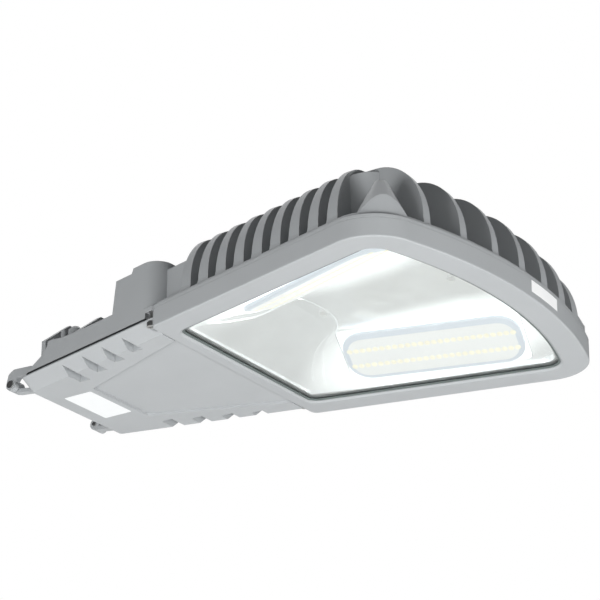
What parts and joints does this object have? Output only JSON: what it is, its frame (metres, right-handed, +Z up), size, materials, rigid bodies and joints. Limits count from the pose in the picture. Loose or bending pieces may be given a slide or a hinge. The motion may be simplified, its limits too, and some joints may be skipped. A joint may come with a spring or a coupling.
{
  "type": "led street light head",
  "caption": "Flared cast street light head with cooling fins on top, a glazed lamp chamber below and a hinged gear cover behind it.",
  "frame": {"origin": "centre of the pole socket's mouth, on the socket's axis", "axes": "+X along the lamp to its bowed front, +Z up with the glass facing -Z, +Y across"},
  "size_m": [0.5292, 0.3634, 0.089],
  "materials": {
    "coated_casting": "fine-textured silver-grey powder coat",
    "coated_frame": "fine-textured silver-grey powder coat",
    "coated_cover": "fine-textured silver-grey powder coat",
    "seal_rubber": "matt black",
    "clear_silicone": "translucent pale blue",
    "toughened_glass": "clear, polished",
    "white_reflector": "gloss white coat",
    "board": "white solder mask",
    "led_phosphor": "pale yellow phosphor",
    "lens_plastic": "clear polycarbonate",
    "zinc_steel": "zinc plated",
    "stainless_steel": "bright stainless",
    "driver_case": "plain anodised",
    "terminal_plastic": "off-white moulding",
    "surge_plastic": "dark moulding",
    "clamp_plastic": "black nylon",
    "brass_screw": "plain brass"
  },
  "bodies": {
    "lamp": {"housing": "coated_casting", "glass_frame": "coated_frame", "housing_gasket": "seal_rubber", "glass_gasket": "seal_rubber", "cable_grommet": "seal_rubber", "wire_grommet": "seal_rubber", "lens_gasket_left": "clear_silicone", "lens_gasket_right": "clear_silicone", "glass_pane": "toughened_glass", "reflector": "white_reflector", "led_board_left": "board", "led_board_right": "board", "led_chips_left": "led_phosphor", "led_chips_right": "led_phosphor", "led_lens_left": "lens_plastic", "led_lens_right": "lens_plastic", "clamp_saddle": "zinc_steel", "clamp_washers": "zinc_steel", "clamp_bolts": "zinc_steel", "frame_screws": "stainless_steel", "reflector_screws": "stainless_steel", "board_screws": "stainless_steel", "driver_screws": "stainless_steel", "gear_screws": "stainless_steel", "cable_clamp_screws": "stainless_steel", "hinge_pins": "stainless_steel", "led_driver": "driver_case", "terminal_block": "terminal_plastic", "surge_protector": "surge_plastic", "cable_clamp": "clamp_plastic", "vent_plug": "clamp_plastic", "earth_screw": "brass_screw"},
    "cover": {"gear_cover": "coated_cover", "cover_gasket": "seal_rubber", "captive_screws": "stainless_steel", "screw_washers": "stainless_steel"}
  },
  "joints": [
    {"name": "cover_hinge", "type": "hinge", "parent": "lamp", "child": "cover", "pos_m": [-0.035, 0, -0.0327], "axis": [0, 1, 0], "range_deg": [0, 95]}
  ]
}
